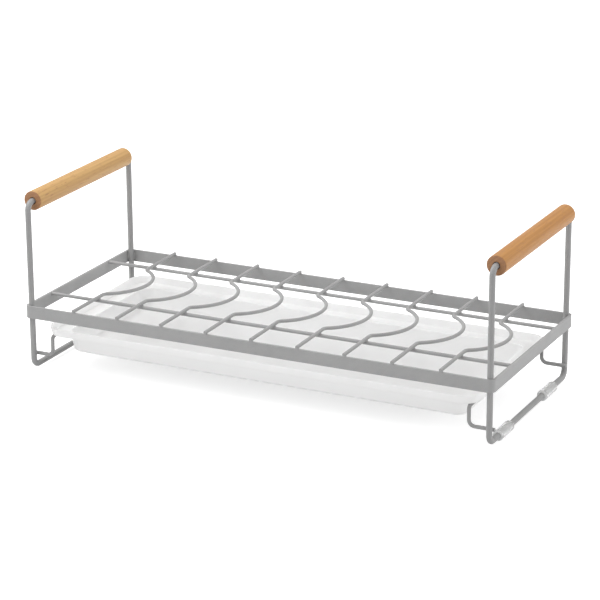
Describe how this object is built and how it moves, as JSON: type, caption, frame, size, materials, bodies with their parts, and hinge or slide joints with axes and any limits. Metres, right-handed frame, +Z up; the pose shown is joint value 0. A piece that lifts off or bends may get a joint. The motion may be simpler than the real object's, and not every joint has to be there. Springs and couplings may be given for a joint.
{
  "type": "bottle drying rack",
  "caption": "Low wire rack with a hooped deck, end loops with wooden handles, clear foot tubes and a drip tray that slides out from under the deck.",
  "frame": {"origin": "on the floor under the middle of the rack, at the bottom centre of its box", "axes": "+X along the length, towards the side the hoops bulge to; +Y to the back; +Z up. The tray pulls out at the front, -Y"},
  "size_m": [0.432, 0.1772, 0.1564],
  "materials": {
    "painted_wire": "satin light grey powder coat",
    "beech": "fine sanded, oiled beech",
    "frosted_plastic": "frosted translucent white, satin",
    "clear_tube": "soft clear tube, slightly cloudy"
  },
  "bodies": {
    "frame": {"rim_band": "painted_wire", "end_loop_left": "painted_wire", "end_loop_right": "painted_wire", "long_wire_front": "painted_wire", "long_wire_rear": "painted_wire", "tray_support_left": "painted_wire", "tray_support_right": "painted_wire", "foot_sleeve_left_front": "clear_tube", "foot_sleeve_left_rear": "clear_tube", "foot_sleeve_right_front": "clear_tube", "foot_sleeve_right_rear": "clear_tube", "cross_wire_1": "painted_wire", "cross_wire_2": "painted_wire", "cross_wire_3": "painted_wire", "cross_wire_4": "painted_wire", "cross_wire_5": "painted_wire", "cross_wire_6": "painted_wire", "cross_wire_7": "painted_wire", "cross_wire_8": "painted_wire", "cross_wire_9": "painted_wire"},
    "drip_tray": {"drip_tray": "frosted_plastic"},
    "handle_left": {"handle_left": "beech"},
    "handle_right": {"handle_right": "beech"}
  },
  "joints": [
    {"name": "tray_slide", "type": "slide", "parent": "frame", "child": "drip_tray", "axis": [0, -1, 0], "range_m": [0, 0.165]},
    {"name": "handle_left_spin", "type": "hinge", "parent": "frame", "child": "handle_left", "pos_m": [-0.2078, 0, 0.1481], "axis": [0, 1, 0], "continuous": true},
    {"name": "handle_right_spin", "type": "hinge", "parent": "frame", "child": "handle_right", "pos_m": [0.2078, 0, 0.1481], "axis": [0, 1, 0], "continuous": true}
  ]
}
